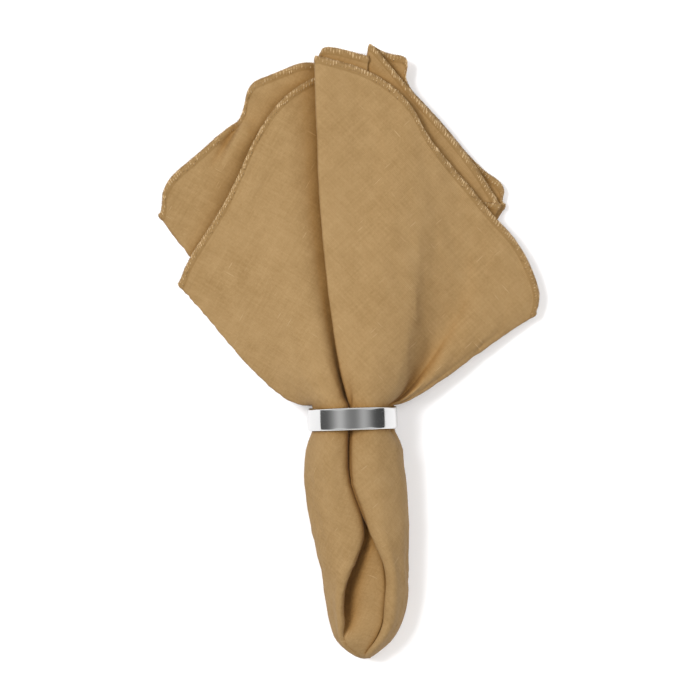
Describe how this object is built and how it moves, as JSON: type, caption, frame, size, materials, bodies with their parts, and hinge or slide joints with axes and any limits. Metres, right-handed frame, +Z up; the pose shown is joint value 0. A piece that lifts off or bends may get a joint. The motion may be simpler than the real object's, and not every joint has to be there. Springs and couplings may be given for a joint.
{
  "type": "napkin in a ring",
  "caption": "Square cloth napkin pinched at its centre and drawn through a round metal band ring, a plump gathered tail below it and layered folds fanning out above.",
  "frame": {"origin": "on the surface that the napkin lies on, below the middle of the part's box", "axes": "+Y along the ring's axis towards the fanned hems, +Z up from the surface, +X to the right as seen from the tail"},
  "size_m": [0.1888, 0.3088, 0.0449],
  "materials": {
    "linen": "matt, slubbed plain weave",
    "metal": "polished"
  },
  "bodies": {
    "root": {"napkin": "linen", "ring": "metal"}
  },
  "joints": []
}
